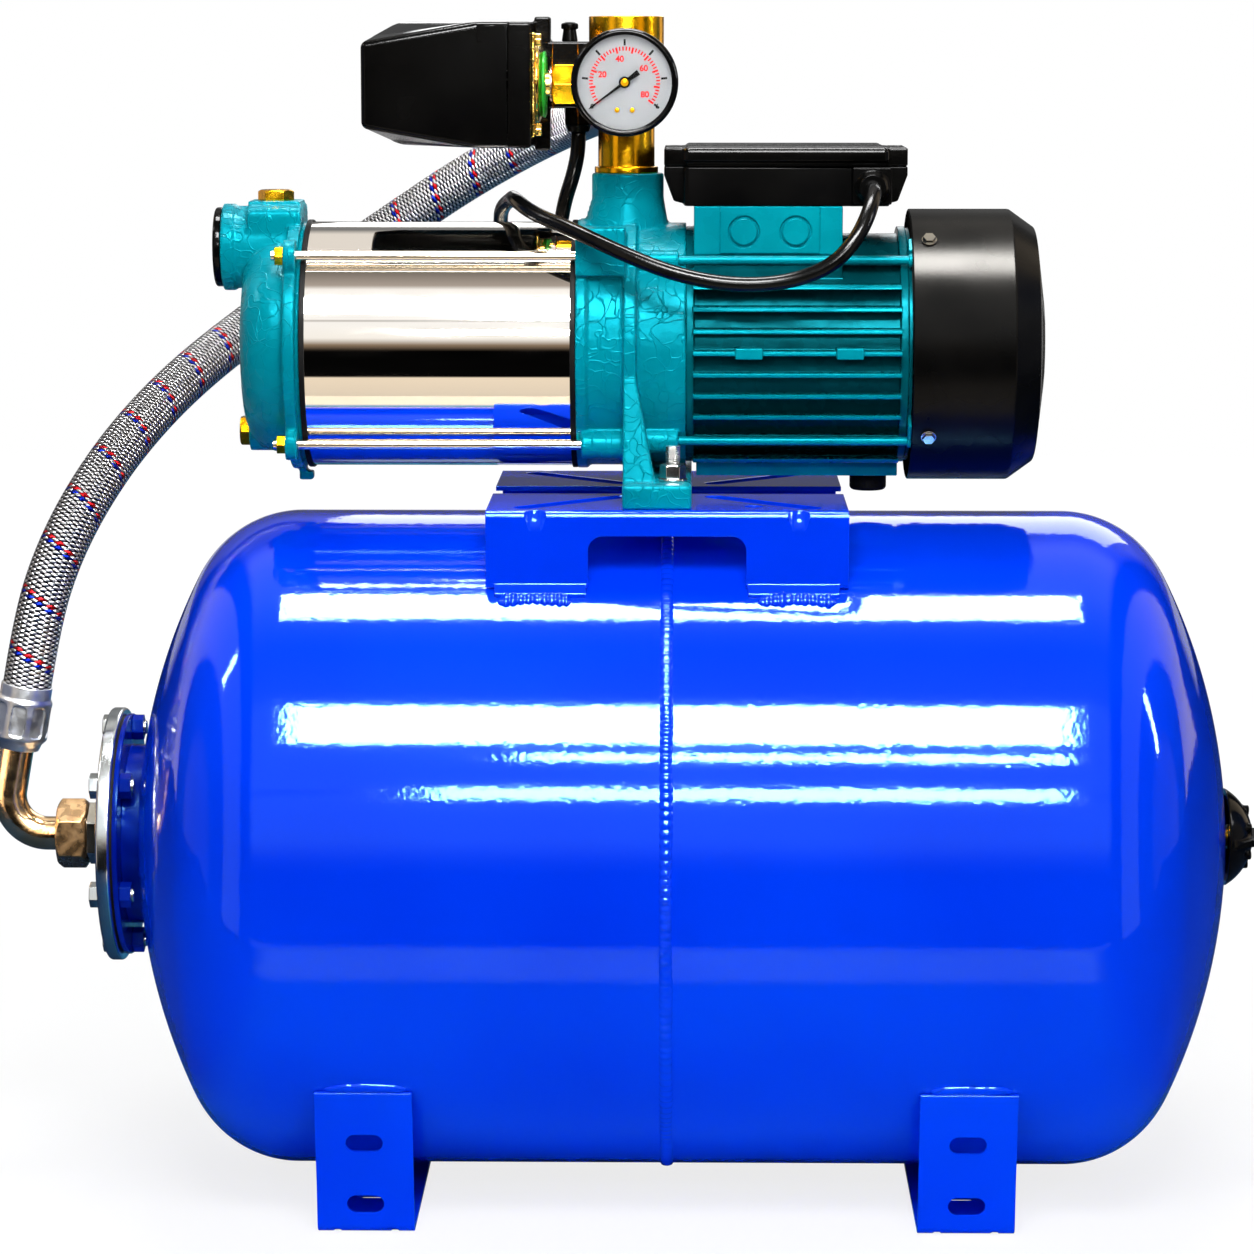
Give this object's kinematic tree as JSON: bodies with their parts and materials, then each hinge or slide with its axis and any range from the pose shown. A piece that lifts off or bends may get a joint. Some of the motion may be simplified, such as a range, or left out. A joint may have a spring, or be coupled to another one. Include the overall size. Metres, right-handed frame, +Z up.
{
  "type": "booster pump with pressure tank",
  "caption": "Multistage booster pump with finned motor on a horizontal blue pressure tank, with braided hose, pressure switch and gauge.",
  "frame": {"origin": "on the floor, at the centre of the four anchor slots, below the tank's weld seam", "axes": "+X along the tank and pump axes towards the fan, +Y away from the gauge's side, +Z up"},
  "size_m": [0.7459, 0.4354, 0.6692],
  "materials": {
    "tank_paint": "gloss",
    "teal_paint": "hammered gloss",
    "polished_steel": "mirror polished",
    "plated_steel": "zinc plated",
    "brass": "satin",
    "bronze_nut": "satin",
    "chromed_pipe": "polished",
    "ferrule_steel": "satin",
    "steel_braid": "woven",
    "black_gloss": "gloss",
    "black_matte": "satin",
    "black_rubber": "matte",
    "membrane_rubber": "matte",
    "cable_rubber": "satin",
    "lens_glass": "clear",
    "dial_white": "matte",
    "needle_black": "matte",
    "machined_steel": "machined",
    "core_steel": "laminated",
    "impeller_plastic": "satin"
  },
  "bodies": {
    "unit": {"tank_shell_left": "tank_paint", "tank_shell_right": "tank_paint", "tank_weld_seam": "tank_paint", "neck_flange": "tank_paint", "counter_flange": "plated_steel", "flange_bolts": "plated_steel", "flange_nuts": "tank_paint", "membrane": "membrane_rubber", "air_valve_body": "brass", "saddle_front": "tank_paint", "saddle_rear": "tank_paint", "tank_foot_left": "tank_paint", "tank_foot_right": "tank_paint", "hose_elbow": "chromed_pipe", "hose_nuts": "bronze_nut", "hose_ferrules": "ferrule_steel", "braided_hose": "steel_braid", "suction_cover": "teal_paint", "fill_plug": "brass", "drain_plug": "brass", "pump_sleeve": "polished_steel", "sleeve_gaskets": "black_rubber", "tie_studs": "plated_steel", "tie_stud_nuts": "brass", "pump_bracket": "teal_paint", "foot_bolts": "plated_steel", "foot_nuts": "plated_steel", "diffusers": "impeller_plastic", "ball_bearings": "machined_steel", "stator": "core_steel", "motor_body": "teal_paint", "motor_end_shield": "teal_paint", "motor_tie_rods": "teal_paint", "fan_cover": "black_matte", "fan_cover_screws": "plated_steel", "rubber_bumper": "black_rubber", "terminal_box_base": "black_matte", "terminal_box_lid": "black_gloss", "cable_gland": "black_matte", "motor_lead": "cable_rubber", "five_way_fitting": "brass", "gauge_case": "black_gloss", "gauge_dial": "dial_white", "gauge_lens": "lens_glass", "switch_cover": "black_gloss", "switch_base": "black_matte", "diaphragm_flange": "plated_steel", "swivel_nut": "brass", "switch_glands": "black_matte"},
    "rotor": {"pump_shaft": "machined_steel", "impellers": "impeller_plastic", "mechanical_seal": "machined_steel", "rotor_core": "core_steel", "cooling_fan": "black_matte"},
    "needle": {"gauge_needle": "needle_black"},
    "valve_cap": {"air_valve_cap": "black_gloss"},
    "valve_core": {"air_valve_core": "machined_steel"},
    "transport_cap": {"suction_cap": "black_gloss"},
    "piston": {"switch_piston": "machined_steel"},
    "lever": {"switch_lever": "plated_steel"}
  },
  "joints": [
    {"name": "rotor_spin", "type": "hinge", "parent": "unit", "child": "rotor", "pos_m": [0, 0, 0.484], "axis": [1, 0, 0], "continuous": true},
    {"name": "gauge_needle_turn", "type": "hinge", "parent": "unit", "child": "needle", "pos_m": [-0.024, -0.0635, 0.6328], "axis": [0, 1, 0], "range_deg": [0, 252], "stiffness_Nm_per_rad": 0.0005, "springref_deg": -8.59},
    {"name": "valve_cap_pull", "type": "slide", "parent": "unit", "child": "valve_cap", "axis": [1, 0, 0], "range_m": [0, 0.03]},
    {"name": "valve_core_press", "type": "slide", "parent": "unit", "child": "valve_core", "axis": [-1, 0, 0], "range_m": [0, 0.002], "stiffness_N_per_m": 400, "springref_m": -0.002},
    {"name": "transport_cap_pull", "type": "slide", "parent": "unit", "child": "transport_cap", "axis": [-1, 0, 0], "range_m": [0, 0.03]},
    {"name": "switch_piston_push", "type": "slide", "parent": "unit", "child": "piston", "axis": [-1, 0, 0], "range_m": [0, 0.0015], "stiffness_N_per_m": 2000, "springref_m": -0.001},
    {"name": "switch_lever_tilt", "type": "hinge", "parent": "unit", "child": "lever", "pos_m": [-0.0876, 0, 0.649], "axis": [0, 1, 0], "range_deg": [0, 4.78]}
  ],
  "couplings": [
    {"joint": "switch_lever_tilt", "follows": "switch_piston_push", "rad_per_m": 55.56}
  ]
}
